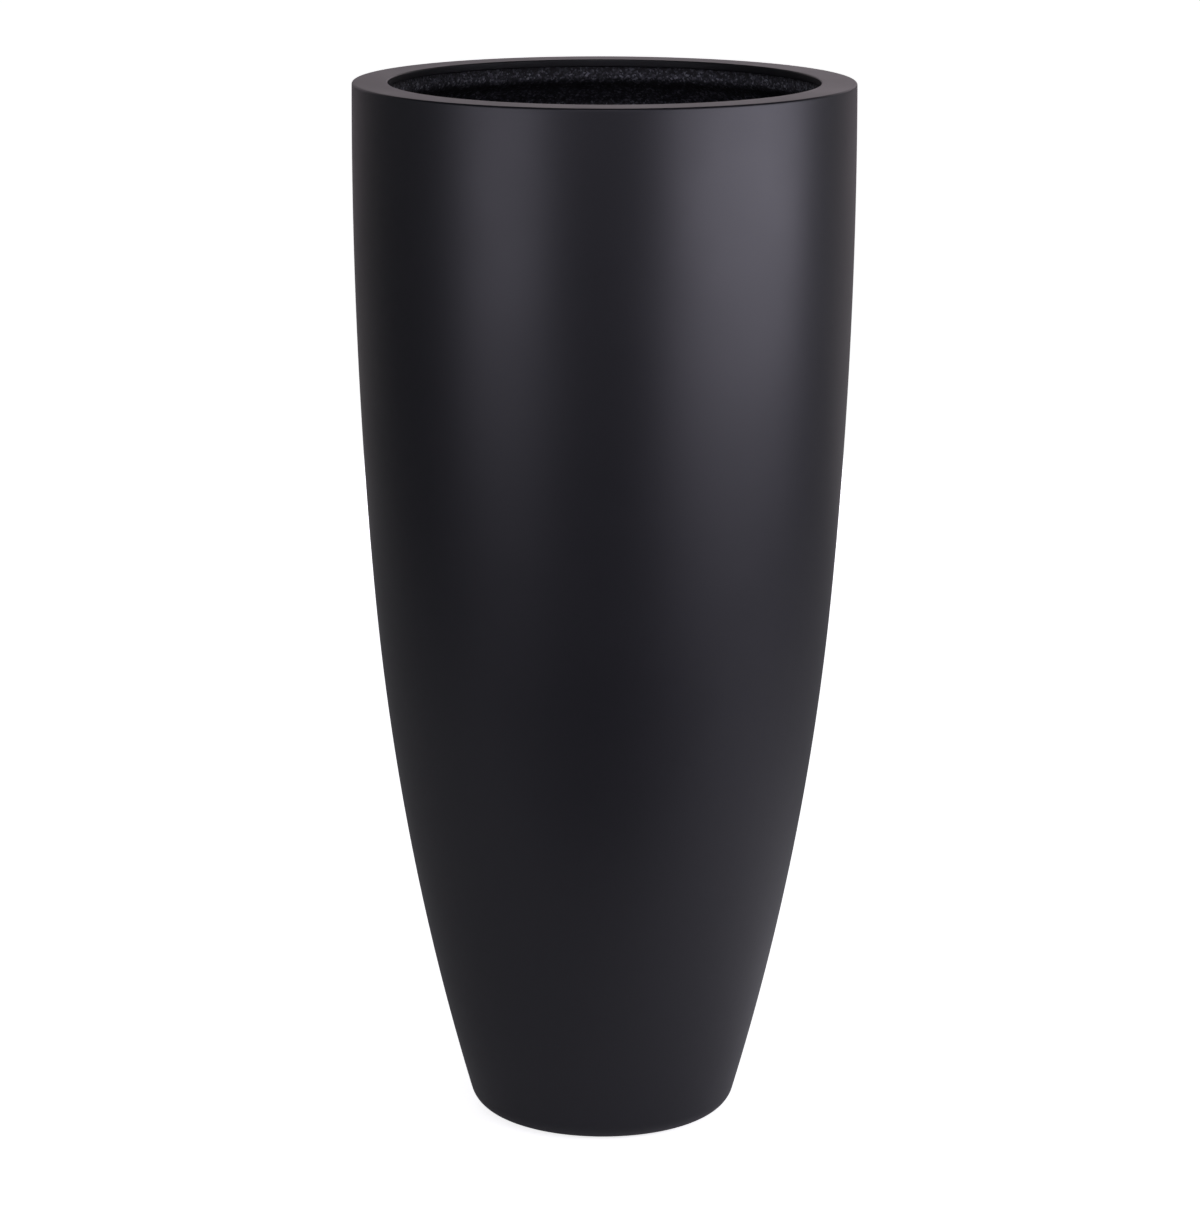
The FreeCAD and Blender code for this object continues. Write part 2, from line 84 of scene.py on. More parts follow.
def wall_radius(height, inset=0.0):
    """Radius of the wall at a height, inset from its outer face: one arc whose centre is level with the
    widest place, and under the blend height a tighter arc that is tangent to it."""
    blend = WIDEST_UP - (UPPER_SWEEP - inset) * LEAN
    upper = UPPER_ACROSS + np.sqrt((UPPER_SWEEP - inset) ** 2 - (height - WIDEST_UP) ** 2)
    lower = LOWER_ACROSS + np.sqrt((LOWER_SWEEP - inset) ** 2 - (height - LOWER_UP) ** 2)
    return np.where(height > blend, upper, lower)


def wall_line(low, high, inset, count):
    """Points (radius, height) along the wall from one height to another, evenly spaced in height."""
    height = np.linspace(low, high, count)
    return np.stack([wall_radius(height, inset), height], axis=1)


def straight(start, end, count=2):
    """Points (radius, height) on a straight line, evenly spaced."""
    return np.linspace(start, end, count)


def bend(across, up, radius, start, end, count):
    """Points (radius, height) on an arc about (across, up), from one angle to another, in radians."""
    angle = np.linspace(start, end, count)
    return np.stack([across + radius * np.cos(angle), up + radius * np.sin(angle)], axis=1)


def smooth(*parts):
    """One smooth stretch of parts, each of which starts where the one before it ends."""
    return np.concatenate([*(part[:-1] for part in parts[:-1]), parts[-1]])


def turned(name, stretches, columns, relief=None):
    """Surface of a half section turned about the axis: point(u, v) = (r(v) cos u, r(v) sin u, z(v)). The
    section is a closed line of smooth stretches, counterclockwise with the radius to the right, so that
    faces point outwards, and the edges between two stretches are sharp. relief(u, v) is added along the
    section's normal."""
    section = np.concatenate([stretch[:-1] for stretch in stretches])
    rows = len(section)
    corner_rows = np.cumsum([0] + [len(stretch) - 1 for stretch in stretches[:-1]])
    turn = np.arange(columns) * 2 * np.pi / columns
    radius = np.repeat(section[:, :1], columns, axis=1)
    height = np.repeat(section[:, 1:], columns, axis=1)
    if relief is not None:
        along = np.roll(section, -1, axis=0) - np.roll(section, 1, axis=0)
        along = along / np.linalg.norm(along, axis=1, keepdims=True)
        depth = relief(section, turn)
        radius = radius + along[:, 1:] * depth
        height = height - along[:, :1] * depth
    points = np.stack([radius * np.cos(turn), radius * np.sin(turn), height], axis=2).reshape(-1, 3)
    row, column = np.meshgrid(np.arange(rows), np.arange(columns), indexing="ij")
    next_row, next_column = (row + 1) % rows, (column + 1) % columns
    corners = [(row, column), (row, next_column), (next_row, next_column), (next_row, column)]
    quads = np.stack([r * columns + c for r, c in corners], axis=2).reshape(-1, 4)
    mesh = bpy.data.meshes.new(name)
    mesh.vertices.add(len(points))
    mesh.vertices.foreach_set("co", points.ravel())
    mesh.loops.add(quads.size)
    mesh.loops.foreach_set("vertex_index", quads.ravel())
    mesh.polygons.add(len(quads))
    mesh.polygons.foreach_set("loop_start", np.arange(len(quads)) * 4)
    mesh.update(calc_edges=True)
    ends = np.zeros(len(mesh.edges) * 2, dtype=np.int32)
    mesh.edges.foreach_get("vertices", ends)
    end_rows = ends.reshape(-1, 2) // columns
    sharp = (end_rows[:, 0] == end_rows[:, 1]) & np.isin(end_rows[:, 0], corner_rows)
    mesh.attributes.new("sharp_edge", "BOOLEAN", "EDGE").data.foreach_set("value", sharp)
    piece = bpy.data.objects.new(name, mesh)
    bpy.context.scene.collection.objects.link(piece)
    return piece


PAD_COUNT = 4
PAD_RING = 82 * MM
SOCKET_RADIUS = 11.3 * MM
SOCKET_DEPTH = 1.2 * MM
SOCKET_SIDES = 64
CUT_PAST = 1 * MM
SHARP_FROM = math.radians(30)


def cut_pad_sockets(piece):
    """Cuts flat round sockets in the underside, the first 45 degrees off the axes. Discs of points
    (ring cos a + r cos b, ring sin a + r sin b), one below the foot and one at the sockets' depth, are
    joined as drums, and the drums are cut away."""
    place, turn = np.meshgrid((np.arange(PAD_COUNT) + 0.5) * 2 * np.pi / PAD_COUNT,
                              np.arange(SOCKET_SIDES) * 2 * np.pi / SOCKET_SIDES, indexing="ij")
    across = PAD_RING * np.cos(place) + SOCKET_RADIUS * np.cos(turn)
    along = PAD_RING * np.sin(place) + SOCKET_RADIUS * np.sin(turn)
    discs = [np.stack([across, along, np.full_like(across, up)], axis=2)
             for up in (FOOT - CUT_PAST, FOOT + SOCKET_DEPTH)]
    index = np.arange(across.size).reshape(across.shape)
    ahead = np.roll(index, -1, axis=1)
    sides = np.stack([index, ahead, ahead + across.size, index + across.size], axis=2).reshape(-1, 4)
    faces = [*sides.tolist(), *index[:, ::-1].tolist(), *(index + across.size).tolist()]
    mesh = bpy.data.meshes.new("pad_sockets")
    mesh.from_pydata(np.concatenate(discs).reshape(-1, 3).tolist(), [], faces)
    drums = bpy.data.objects.new("pad_sockets", mesh)
    bpy.context.scene.collection.objects.link(drums)
    cut = piece.modifiers.new("pad_sockets", "BOOLEAN")
    cut.object = drums
    cut.solver = "EXACT"
    view = bpy.context.evaluated_depsgraph_get()
    carved = bpy.data.meshes.new_from_object(piece.evaluated_get(view))
    piece.modifiers.clear()
    piece.data = carved
    carved.set_sharp_from_angle(angle=SHARP_FROM)
    bpy.data.objects.remove(drums)


WALL_COLUMNS = 480
FOOT_ROUND_POINTS = 14
OUTSIDE_POINTS = 90
INSIDE_POINTS = 40
INNER_ROUND_POINTS = 8
inner_round = FOOT_ROUND - WALL_THICKNESS
wall = turned("painted_wall", [
    straight([LEDGE_EDGE, FOOT], [ROUND_ACROSS, FOOT]),
    smooth(
        bend(ROUND_ACROSS, ROUND_UP, FOOT_ROUND, -QUARTER, FOOT_LEAN, FOOT_ROUND_POINTS),
        wall_line(ROUND_UP + FOOT_ROUND * math.sin(FOOT_LEAN), WALL_TOP, 0.0, OUTSIDE_POINTS),
    ),
    straight([wall_radius(WALL_TOP), WALL_TOP], [wall_radius(WALL_TOP, WALL_THICKNESS), WALL_TOP]),
    smooth(
        wall_line(WALL_TOP, ROUND_UP + inner_round * math.sin(FOOT_LEAN), WALL_THICKNESS, INSIDE_POINTS),
        bend(ROUND_ACROSS, ROUND_UP, inner_round, FOOT_LEAN, -QUARTER, INNER_ROUND_POINTS),
    ),
    straight([ROUND_ACROSS, LEDGE_TOP], [LEDGE_EDGE, LEDGE_TOP]),
    straight([LEDGE_EDGE, LEDGE_TOP], [LEDGE_EDGE, FOOT]),
], WALL_COLUMNS)
cut_pad_sockets(wall)


def linear(sheen):
    """Linear colour of an sRGB hex value such as "1c1c1f"."""
    values = np.array([int(sheen[i:i + 2], 16) for i in (0, 2, 4)]) / 255
    low, high = values / 12.92, ((values + 0.055) / 1.055) ** 2.4
    return (*np.where(values <= 0.04045, low, high).tolist(), 1.0)


def add_node(tree, kind, settings, links=()):
    """Adds a node. Settings are properties or the values of inputs, and links are (input, node, output)."""
    node = tree.nodes.new(kind)
    for key, value in settings.items():
        if isinstance(key, str) and hasattr(node, key):
            setattr(node, key, value)
        else:
            node.inputs[key].default_value = value
    for key, source, output in links:
        tree.links.new(source.outputs[output], node.inputs[key])
    return node


def new_material(name):
    """Empty material, and its node tree."""
    material = bpy.data.materials.new(name)
    material.use_nodes = True
    material.node_tree.nodes.clear()
    return material, material.node_tree


def noise(tree, place, size, **settings):
    """Noise on Object coordinates, whose blobs are about as wide as size."""
    return add_node(tree, "ShaderNodeTexNoise", {"Scale": 1 / size, **settings},
                    [("Vector", place, "Object")])


NOISE_LOW = 0.3
NOISE_HIGH = 0.7


def spread(tree, pattern, low, high):
    """Maps a noise, which lies between NOISE_LOW and NOISE_HIGH nearly everywhere, to a range of values."""
    return add_node(tree, "ShaderNodeMapRange",
                    {"From Min": NOISE_LOW, "From Max": NOISE_HIGH, "To Min": low, "To Max": high},
                    [("Value", pattern, "Fac")])


def ramp(tree, pattern, output, stops):
    """Colours over a pattern's values. Stops are (value, colour), upwards."""
    node = add_node(tree, "ShaderNodeValToRGB", {}, [("Fac", pattern, output)])
    elements = node.color_ramp.elements
    for index, (value, colour) in enumerate(stops):
        stop = elements[index] if index < 2 else elements.new(value)
        stop.position = value
        stop.color = colour
    return node


# Satin two-part paint, sprayed: the film is a little uneven, with an orange peel some 4 mm from crest to
# crest and a fine dust-dry grain, which spread the reflections into wide soft bands and keep the black from
# looking glazed.
PEEL = 4 * MM
GRAIN = 0.7 * MM
CLOUD = 111.1 * MM
satin_paint, tree = new_material("satin_black_paint")
place = add_node(tree, "ShaderNodeTexCoord", {})
peel = noise(tree, place, PEEL, Detail=2.0, Roughness=0.5)
grain = noise(tree, place, GRAIN, Detail=1.0, Roughness=0.6)
cloud = noise(tree, place, CLOUD, Detail=3.0, Roughness=0.55)
gloss = spread(tree, cloud, 0.40, 0.44)
tone = ramp(tree, grain, "Fac", [(NOISE_LOW, linear("121216")), (NOISE_HIGH, linear("17171c"))])
fine = add_node(tree, "ShaderNodeBump", {"Strength": 0.25, "Distance": 0.02 * MM}, [("Height", grain, "Fac")])
film = add_node(tree, "ShaderNodeBump", {"Strength": 0.5, "Distance": 0.03 * MM},
                [("Height", peel, "Fac"), ("Normal", fine, "Normal")])
paint = add_node(tree, "ShaderNodeBsdfPrincipled", {"IOR": 1.5},
                 [("Base Color", tone, "Color"), ("Roughness", gloss, "Result"), ("Normal", film, "Normal")])
add_node(tree, "ShaderNodeOutputMaterial", {}, [("Surface", paint, "BSDF")])
wall.data.materials.append(satin_paint)
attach(wall, "planter")
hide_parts("outer_shell")

# ---------------------------------------------------------------- rim collar
# Moulded ring, flat on top, with a short smooth lip round the mouth and a flange that locates it in the
# wall. It is bonded on, filled over the joint and painted with the wall, so that no joint shows.
MOUTH = 181.5 * MM
LIP_DEPTH = 6.5 * MM
LIP_THICKNESS = 4.5 * MM
FLANGE_DEPTH = 12 * MM
FLANGE_THICKNESS = 3 * MM
BOND = 0.3 * MM
OUTER_ARRIS = 1.8 * MM
MOUTH_ARRIS = 1.2 * MM
LIP_ARRIS = 0.7 * MM
SIDE_POINTS = 4
OUTER_ARRIS_POINTS = 10
FLAT_POINTS = 9
MOUTH_ARRIS_POINTS = 8
LIP_POINTS = 5
LIP_ARRIS_POINTS = 6
FLANGE_POINTS = 3
LIP_FOOT = TOP - LIP_DEPTH
LIP_BACK = MOUTH + LIP_THICKNESS
flange_foot = WALL_TOP - FLANGE_DEPTH
flange_seat = wall_radius(WALL_TOP, WALL_THICKNESS + BOND)
flange_face = flange_seat - FLANGE_THICKNESS
arris_across = wall_radius(TOP) - OUTER_ARRIS
arris_up = TOP - OUTER_ARRIS
mouth_up = TOP - MOUTH_ARRIS
lip_arris_up = LIP_FOOT + LIP_ARRIS
rim = turned("painted_rim", [
    smooth(
        wall_line(WALL_TOP, arris_up, 0.0, SIDE_POINTS),
        bend(arris_across, arris_up, OUTER_ARRIS, 0, QUARTER, OUTER_ARRIS_POINTS),
        straight([arris_across, TOP], [MOUTH + MOUTH_ARRIS, TOP], FLAT_POINTS),
        bend(MOUTH + MOUTH_ARRIS, mouth_up, MOUTH_ARRIS, QUARTER, 2 * QUARTER, MOUTH_ARRIS_POINTS),
        straight([MOUTH, mouth_up], [MOUTH, lip_arris_up], LIP_POINTS),
        bend(MOUTH + LIP_ARRIS, lip_arris_up, LIP_ARRIS, 2 * QUARTER, 3 * QUARTER, LIP_ARRIS_POINTS),
    ),
    straight([MOUTH + LIP_ARRIS, LIP_FOOT], [LIP_BACK, LIP_FOOT]),
    straight([LIP_BACK, LIP_FOOT], [LIP_BACK, WALL_TOP]),
    straight([LIP_BACK, WALL_TOP], [flange_face, WALL_TOP]),
    straight([flange_face, WALL_TOP], [flange_face, flange_foot]),
    straight([flange_face, flange_foot], [wall_radius(flange_foot, WALL_THICKNESS + BOND), flange_foot]),
    wall_line(flange_foot, WALL_TOP, WALL_THICKNESS + BOND, FLANGE_POINTS),
    straight([flange_seat, WALL_TOP], [wall_radius(WALL_TOP), WALL_TOP]),
], WALL_COLUMNS)
rim.data.materials.append(satin_paint)
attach(rim, "planter")
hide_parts("rim_collar")

# ---------------------------------------------------------------- rim core
# Rigid foam that fills the hollow of the rim and keeps its wide flat round and stiff. It is cut with a 45
# degree underside, so that glass drapes over it, and it is closed in on every side.


def patterned(name, kind, pattern, output, stops, relief, surface):
    """Material in which one pattern on Object coordinates gives the colours, by the stops of a ramp, and
    the relief, a bump of some strength and depth. Pattern and surface are settings of the pattern and the
    shader."""
    material, tree = new_material(name)
    place = add_node(tree, "ShaderNodeTexCoord", {})
    field = add_node(tree, kind, pattern, [("Vector", place, "Object")])
    tone = ramp(tree, field, output, stops)
    strength, depth = relief
    bump = add_node(tree, "ShaderNodeBump", {"Strength": strength, "Distance": depth},
                    [("Height", field, output)])
    skin = add_node(tree, "ShaderNodeBsdfPrincipled", surface,
                    [("Base Color", tone, "Color"), ("Normal", bump, "Normal")])
    add_node(tree, "ShaderNodeOutputMaterial", {}, [("Surface", skin, "BSDF")])
    return material


def finish_node(name, material):
    """Gives a piece that keeps its shape its own material."""
    nodes[name].data.materials.clear()
    nodes[name].data.materials.append(material)


# Straw-coloured and quite matt, with fine closed cells that are darker in their middles.
FOAM_CELL = 1.2 * MM
foam = patterned("rigid_polyurethane_foam", "ShaderNodeTexVoronoi", {"Scale": 1 / FOAM_CELL}, "Distance",
                 [(0.0, linear("b89f5f")), (1.0, linear("dcc88f"))], (0.6, 0.3 * MM), {"Roughness": 0.9})
finish_node("rim_core", foam)

# ---------------------------------------------------------------- rim return
# Strip of chopped-strand laminate, rolled out over the core from inside. It closes the rim's box from
# behind the lip down to its lap on the wall, and the lining covers it.

# Black pigment in the resin, and the strands show as a tangle of paler streaks under a slight wet gloss.
STRAND = 9 * MM
laminate = patterned("raw_fiberglass_laminate", "ShaderNodeTexNoise",
                     {"Scale": 1 / STRAND, "Detail": 5.0, "Roughness": 0.7, "Distortion": 2.5}, "Fac",
                     [(0.35, linear("26272a")), (0.62, linear("3c3d40"))], (0.7, 0.4 * MM),
                     {"Roughness": 0.42, "IOR": 1.5})
finish_node("rim_return", laminate)

# ---------------------------------------------------------------- floor pan
# Separate floor of the same laminate, with a fall to its drain hole. It is bonded on the ledge from inside,
# once the wall is out of its mould, and its underside is left as it is rolled out.
finish_node("floor_pan", laminate)

# ---------------------------------------------------------------- floor bond
# Resin putty that bonds and seals the floor to the wall. It is pressed in between the two and drawn off to
# a hollow cove with a rounded tool.

# Dull mid grey, with the smears that the tool leaves.
SMEAR = 11.1 * MM
putty = patterned("filled_resin_putty", "ShaderNodeTexNoise", {"Scale": 1 / SMEAR, "Detail": 4.0}, "Fac",
                  [(0.0, linear("58595b")), (1.0, linear("77787a"))], (0.5, 0.4 * MM), {"Roughness": 0.6})
finish_node("floor_bond", putty)

# ---------------------------------------------------------------- inner lining
# Black sealing coat filled with sand, brushed on over the return, the wall, the cove and the floor. The
# photograph shows its grain as a sparkling band close under the lip, and nearly black below.
CORE_FOOT = 17.5 * MM
RETURN_THICKNESS = 2 * MM
RETURN_ROUND = 4 * MM
RETURN_COVE = 9 * MM
RETURN_LAP = 64 * MM
RETURN_FACE = MOUTH + LIP_THICKNESS + BOND - RETURN_THICKNESS
LAP_FACE = wall_radius(TOP - CORE_FOOT, WALL_THICKNESS + BOND) - RETURN_THICKNESS
LAP_FOOT = TOP - RETURN_LAP
TAN_HALF_BEND = math.sqrt(2) - 1
COAT = 1 * MM
COAT_SOFTENING = 6
FEATHER = 30 * MM
PAN_RADIUS = 93 * MM
PAN_EDGE_UP = 12.5 * MM
SEAT = 19 * MM
SEAT_UP = 9 * MM
BARE_RING = 2 * MM
COVE_TOP = 36 * MM
COVE_REACH = 9 * MM
COVE_ROUND = 34 * MM
COVE_FOOT = PAN_RADIUS - COVE_REACH
LINING_EDGE = SEAT + BARE_RING
FLOOR_SLOPE = (PAN_EDGE_UP - SEAT_UP) / (PAN_RADIUS - SEAT)


def floor_up(across, lift):
    """Height of the sloping floor at a radius, plus a lift."""
    return SEAT_UP + FLOOR_SLOPE * (across - SEAT) + lift


def hollow_arc(head, foot, radius, count):
    """Points (radius, height) on a hollow arc from head down to foot, centred above it and inwards."""
    chord = head - foot
    half = np.linalg.norm(chord) / 2
    square = np.array([-chord[1], chord[0]]) / (2 * half)
    centre = (head + foot) / 2 + square * math.sqrt(radius**2 - half**2)
    first, last = (math.atan2(*(end - centre)[::-1]) for end in (head, foot))
    last -= 2 * math.pi * (last > first)
    return bend(centre[0], centre[1], radius, first, last, count)


def lining_face(inset, counts):
    """Points (radius, height) of the coat's face from under the lip to the plug's seat, inset towards the
    axis from the return: down the rim, round a soft edge, 45 degrees out, and down the wall over the cove
    to the floor. Counts are how many points the rim, the two bends, the slope, the lap, the wall and the
    floor have."""
    rim_count, bend_count, slope_count, lap_count, wall_count, floor_count = counts
    corner_up = TOP - CORE_FOOT - RETURN_THICKNESS * TAN_HALF_BEND - inset * TAN_HALF_BEND
    across, lap = RETURN_FACE - inset, LAP_FACE - inset
    soft, hollow = RETURN_ROUND + COAT_SOFTENING * inset, RETURN_COVE - inset
    lap_corner_up = corner_up - (lap - across)
    soft_up, soft_across = corner_up + soft * TAN_HALF_BEND, across + soft
    hollow_up, hollow_across = lap_corner_up - hollow * TAN_HALF_BEND, lap - hollow
    wall_inset = WALL_THICKNESS + BOND + inset
    feather_foot = LAP_FOOT - FEATHER
    lift = BOND + inset
    head = np.array([wall_radius(COVE_TOP, wall_inset), COVE_TOP])
    foot = np.array([COVE_FOOT, floor_up(COVE_FOOT, lift)])
    return smooth(
        straight([across, LIP_FOOT], [across, soft_up], rim_count),
        bend(soft_across, soft_up, soft, 2 * QUARTER, 2.5 * QUARTER, bend_count),
        straight([soft_across - soft / math.sqrt(2), soft_up - soft / math.sqrt(2)],
                 [hollow_across + hollow / math.sqrt(2), hollow_up + hollow / math.sqrt(2)], slope_count),
        bend(hollow_across, hollow_up, hollow, QUARTER / 2, 0, bend_count),
        straight([lap, hollow_up], [lap, LAP_FOOT], lap_count),
        straight([lap, LAP_FOOT], [wall_radius(feather_foot, wall_inset), feather_foot], lap_count),
        wall_line(feather_foot, COVE_TOP, wall_inset, wall_count),
        hollow_arc(head, foot, COVE_ROUND, floor_count),
        straight(foot, [LINING_EDGE, floor_up(LINING_EDGE, lift)], floor_count),
    )


BACK_COUNTS = (4, 4, 4, 3, 20, 6)
FACE_COUNTS = (15, 6, 26, 10, 24, 8)
coat_back = lining_face(0.0, BACK_COUNTS)[::-1]
coat_face = lining_face(COAT, FACE_COUNTS)
SAND_RELIEF = 0.16 * MM
SAND_SEED = 41
SMOOTH_ROWS = 2


def sand(section, turn):
    """Height of the sand: seeded normal noise at each point, but none on the coat's back or near its
    edges."""
    rows = np.arange(len(section))[:, None]
    grains = np.random.default_rng(SAND_SEED).standard_normal((len(section), len(turn)))
    sanded_rows = (rows >= len(coat_back) + SMOOTH_ROWS) & (rows < len(section) - SMOOTH_ROWS)
    return np.where(sanded_rows, SAND_RELIEF * grains, 0.0)


LINING_COLUMNS = 640
lining = turned("sanded_lining", [
    coat_back,
    straight(coat_back[-1], coat_face[0]),
    coat_face,
    straight(coat_face[-1], coat_back[0]),
], LINING_COLUMNS, sand)

# Sharp sand in black bitumen: single pale grains sparkle in a dull dark coat. The tone is scaled by the depth
# below the top, and this is painted light and shade: dimmer just under the lip where its shadow falls, a
# painted lit band below that, darker on the slope that faces down out of the light, and lighter again
# further down. Each pair is a depth in mm and its share.
SAND_GRAIN = 1.6 * MM
SAND_PATCH = 6.25 * MM
SAND_SPAN = 40 * MM
PAINTED_LIGHT_BY_DEPTH = [(7.0, 0.35), (10.5, 0.75), (13.0, 1.0), (15.5, 0.95), (18.5, 0.45), (22.0, 0.2), (25.0, 0.25),
               (29.0, 0.6)]
sanded, tree = new_material("sand_filled_bitumen_coat")
place = add_node(tree, "ShaderNodeTexCoord", {})
grit = add_node(tree, "ShaderNodeTexVoronoi", {"Scale": 1 / SAND_GRAIN, "Randomness": 1.0},
                [("Vector", place, "Object")])
patches = noise(tree, place, SAND_PATCH, Detail=3.0, Roughness=0.6)
wet = spread(tree, patches, 0.5, 0.8)
single = add_node(tree, "ShaderNodeSeparateColor", {}, [("Color", grit, "Color")])
tone = ramp(tree, single, "Red", [(0.0, linear("25252a")), (0.55, linear("3a3a41")),
                                  (0.85, linear("5f5f69")), (1.0, linear("8e8e99"))])
level = add_node(tree, "ShaderNodeSeparateXYZ", {}, [("Vector", place, "Object")])
depth = add_node(tree, "ShaderNodeMapRange", {"From Min": TOP, "From Max": TOP - SAND_SPAN},
                 [("Value", level, "Z")])
# Painted light and shade by depth: the coat's tone is scaled by these shares.
painted_light_share = ramp(tree, depth, "Result",
             [(down * MM / SAND_SPAN, (share, share, share, 1)) for down, share in PAINTED_LIGHT_BY_DEPTH])
shaded = add_node(tree, "ShaderNodeVectorMath", {"operation": "SCALE"},
                  [(0, tone, "Color"), ("Scale", painted_light_share, "Color")])
lumps = add_node(tree, "ShaderNodeBump", {"invert": True, "Strength": 0.8, "Distance": 0.5 * MM},
                 [("Height", grit, "Distance")])
coat = add_node(tree, "ShaderNodeBsdfPrincipled", {"IOR": 1.5},
                [("Base Color", shaded, "Vector"), ("Roughness", wet, "Result"), ("Normal", lumps, "Normal")])
add_node(tree, "ShaderNodeOutputMaterial", {}, [("Surface", coat, "BSDF")])
lining.data.materials.append(sanded)
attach(lining, "planter")
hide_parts("inner_lining")

# ---------------------------------------------------------------- drain plug
# Moulded rubber, with a tapered shank, a flat head and a tab to pull. It is pushed into the drain hole from
# inside, and it is the one piece that comes out.

# Dull near-black, a little chalky where the rubber has bloomed.
BLOOM = 8.33 * MM
rubber = patterned("moulded_black_rubber", "ShaderNodeTexNoise", {"Scale": 1 / BLOOM, "Detail": 4.0}, "Fac",
                   [(0.0, linear("19191a")), (1.0, linear("2a2a2b"))], (0.3, 0.1 * MM),
                   {"Roughness": 0.72, "IOR": 1.52})
finish_node("drain_plug", rubber)

# ---------------------------------------------------------------- foot pads
# Four discs of the same rubber, bevelled round their faces and stuck in the sockets under the ledge. They
# carry the planter a little off the floor.
for count in range(PAD_COUNT):
    finish_node(f"foot_pad_{count + 1}", rubber)

# ---------------------------------------------------------------- studio
# White floor and white background. The satin paint mirrors a room that the photograph doesn't show: two
# soft boxes in dark surroundings, with paler paper behind. Cards stand in for that room, and only
# reflections see them.


def flat_card(name, corners, material):
    """Flat four-cornered card, a part of the studio."""
    mesh = bpy.data.meshes.new(name)
    mesh.from_pydata(corners, [], [[0, 1, 2, 3]])
    mesh.materials.append(material)
    card = bpy.data.objects.new(name, mesh)
    bpy.context.scene.collection.objects.link(card)
    return card


def lying(front, back, half, up):
    """Corners of a level card from front to back, which reaches half as far to each side."""
    return [(-half, front, up), (half, front, up), (half, back, up), (-half, back, up)]


def white_rays(tree):
    """1 for the rays that show the background: the camera's own, reflected ones and transmitted ones."""
    rays = add_node(tree, "ShaderNodeLightPath", {})
    seen = add_node(tree, "ShaderNodeMath", {"operation": "MAXIMUM"},
                    [(0, rays, "Is Camera Ray"), (1, rays, "Is Glossy Ray")])
    return add_node(tree, "ShaderNodeMath", {"operation": "MAXIMUM"},
                    [(0, seen, "Value"), (1, rays, "Is Transmission Ray")])


# Matt white, lifted to pure white for the camera and for reflections, so that only the shadow shows on it.
FLOOR_REACH = 14.0
FLOOR_GLOW = 0.78
pale, tree = new_material("white_studio_floor")
glow = add_node(tree, "ShaderNodeMath", {"operation": "MULTIPLY", 1: FLOOR_GLOW},
                [(0, white_rays(tree), "Value")])
cloth = add_node(tree, "ShaderNodeBsdfDiffuse", {"Color": linear("f4f4f4")})
lit = add_node(tree, "ShaderNodeEmission", {"Color": (1, 1, 1, 1)}, [("Strength", glow, "Value")])
both = add_node(tree, "ShaderNodeAddShader", {}, [(0, cloth, "BSDF"), (1, lit, "Emission")])
add_node(tree, "ShaderNodeOutputMaterial", {}, [("Surface", both, "Shader")])
flat_card("studio_floor", lying(-FLOOR_REACH, FLOOR_REACH, FLOOR_REACH, 0), pale)


def standing(start, end, low, high):
    """Corners of an upright card between two places on the floor, from one height to another."""
    return [(*start, low), (*end, low), (*end, high), (*start, high)]


def cloth_material(name, sheen, glow):
    """Matt cloth of one colour. Glow, if any, is light that it gives as well: the strengths on its left and
    on its right, the tint, and how far from the middle those strengths are reached."""
    material, tree = new_material(name)
    surface = (add_node(tree, "ShaderNodeBsdfDiffuse", {"Color": linear(sheen)}), "BSDF")
    if glow is not None:
        left, right, tint, reach = glow
        place = add_node(tree, "ShaderNodeTexCoord", {})
        side = add_node(tree, "ShaderNodeSeparateXYZ", {}, [("Vector", place, "Object")])
        level = add_node(tree, "ShaderNodeMapRange",
                         {"From Min": -reach, "From Max": reach, "To Min": left, "To Max": right},
                         [("Value", side, "X")])
        lamp = add_node(tree, "ShaderNodeEmission", {"Color": linear(tint)}, [("Strength", level, "Result")])
        both = add_node(tree, "ShaderNodeAddShader", {}, [(0, *surface), (1, lamp, "Emission")])
        surface = (both, "Shader")
    add_node(tree, "ShaderNodeOutputMaterial", {}, [("Surface", *surface)])
    return material


def mirrored_card(name, corners, material):
    """Card that is seen in reflections alone, and throws no light or shadow on anything matt."""
    card = flat_card(name, corners, material)
    card.visible_camera = False
    card.visible_diffuse = False
    card.visible_transmission = False
    card.visible_shadow = False


ROOM = 4.5
CEILING = 3.2
BACK_HEM = 0.45
BACK_RISE = 1.3
CLOTH_UP = 0.5 * MM
PAPER_UP = 1 * MM
FAR_PAPER_UP = 2 * MM
PAPER_FRONT = 0.6
PAPER_SIDE = 1.0
PAPER_FAR = 2.0
POOL = (0.42, 0.1, 0)
POOL_INNER = 0.15
POOL_OUTER = 0.7
# White paper under the planter. Its colour is paler round a point on the right, a painted pool of light that
# shows low on the wall's right side.
paper, tree = new_material("paper")
place = add_node(tree, "ShaderNodeTexCoord", {})
away = add_node(tree, "ShaderNodeVectorMath", {"operation": "DISTANCE", 1: POOL}, [(0, place, "Object")])
# Painted light: the paper's colour fades from pale near the point to darker away from it.
painted_light_pool = add_node(tree, "ShaderNodeMapRange",
                {"From Min": POOL_INNER, "From Max": POOL_OUTER, "To Min": 0.97, "To Max": 0.5},
                [("Value", away, "Value")])
weave = add_node(tree, "ShaderNodeBsdfDiffuse", {}, [("Color", painted_light_pool, "Result")])
add_node(tree, "ShaderNodeOutputMaterial", {}, [("Surface", weave, "BSDF")])
mirrored_card("paper", [(-PAPER_SIDE, -PAPER_FRONT, PAPER_UP), (PAPER_SIDE, -PAPER_FRONT, PAPER_UP),
                        (ROOM, ROOM, PAPER_UP), (-ROOM, ROOM, PAPER_UP)], paper)
FRONT_LEFT, FRONT_RIGHT = (-ROOM, -ROOM), (ROOM, -ROOM)
BACK_LEFT, BACK_RIGHT = (-ROOM, ROOM), (ROOM, ROOM)
